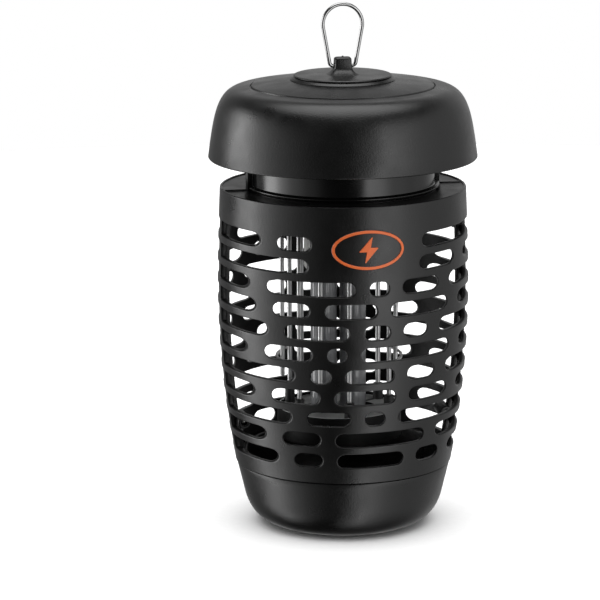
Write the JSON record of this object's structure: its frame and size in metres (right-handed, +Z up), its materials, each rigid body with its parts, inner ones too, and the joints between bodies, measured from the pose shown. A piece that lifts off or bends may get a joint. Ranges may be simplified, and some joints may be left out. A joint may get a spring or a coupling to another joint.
{
  "type": "electric bug zapper",
  "caption": "Black lantern-shaped electric bug zapper: domed cap with wire hanging loop, slotted two-part cage over a rod grid and twin-tube lamp, and a pull-off catch tray.",
  "frame": {"origin": "centre of the flat underside of the tray, on the axis of the cage", "axes": "+Z up along the axis of the cage and the cap; the front, which carries the badge, faces -Y; +X is on the right seen from the front"},
  "size_m": [0.13, 0.13, 0.2545],
  "materials": {
    "black_plastic": "fine moulded grain",
    "gloss_black_plastic": "smooth gloss",
    "dark_insulator": "matt moulded",
    "bright_steel": "bright drawn wire",
    "zinc_steel": "zinc plated",
    "lamp_glass": "coated lamp glass",
    "white_plastic": "satin",
    "board_laminate": "laminate",
    "component_plastic": "moulded",
    "lead_insulation": "soft insulation",
    "black_rubber": "matt",
    "badge_orange": "printed"
  },
  "bodies": {
    "body": {"cage_front": "black_plastic", "cage_rear": "black_plastic", "cage_screw_1": "zinc_steel", "cage_screw_2": "zinc_steel", "cage_screw_3": "zinc_steel", "cage_screw_4": "zinc_steel", "neck_housing": "gloss_black_plastic", "cord_gland": "black_rubber", "circuit_board": "board_laminate", "board_screw_1": "zinc_steel", "board_screw_2": "zinc_steel", "board_screw_3": "zinc_steel", "transformer": "component_plastic", "film_capacitor": "component_plastic", "tall_capacitor": "component_plastic", "small_capacitor": "component_plastic", "upper_grid_plate": "dark_insulator", "plate_screw_1": "zinc_steel", "plate_screw_2": "zinc_steel", "plate_screw_3": "zinc_steel", "cap": "black_plastic", "cap_screw_1": "zinc_steel", "cap_screw_2": "zinc_steel", "cap_screw_3": "zinc_steel", "hanger_plate": "black_plastic", "hanger_screw_1": "zinc_steel", "hanger_screw_2": "zinc_steel", "outer_rod_1": "bright_steel", "outer_rod_2": "bright_steel", "outer_rod_3": "bright_steel", "outer_rod_4": "bright_steel", "outer_rod_5": "bright_steel", "outer_rod_6": "bright_steel", "inner_rod_1": "bright_steel", "inner_rod_2": "bright_steel", "inner_rod_3": "bright_steel", "inner_rod_4": "bright_steel", "inner_rod_5": "bright_steel", "inner_rod_6": "bright_steel", "outer_bus_ring": "bright_steel", "inner_bus_ring": "bright_steel", "tie_ring": "bright_steel", "lower_grid_plate": "dark_insulator", "lamp_base": "white_plastic", "lamp_socket": "dark_insulator", "lamp_pin_1": "bright_steel", "lamp_pin_2": "bright_steel", "lamp_tube": "lamp_glass", "lamp_lead_1": "lead_insulation", "lamp_lead_2": "lead_insulation", "grid_lead_1": "lead_insulation", "grid_lead_2": "lead_insulation", "badge": "badge_orange"},
    "tray": {"tray": "black_plastic"},
    "hanger": {"hanging_wire": "bright_steel"}
  },
  "joints": [
    {"name": "tray_pull", "type": "slide", "parent": "body", "child": "tray", "axis": [0, 0, 1], "range_m": [-0.04, 0]},
    {"name": "wire_swing", "type": "hinge", "parent": "body", "child": "hanger", "pos_m": [0, 0, 0.224], "axis": [1, 0, 0], "range_deg": [-92, 92]}
  ]
}
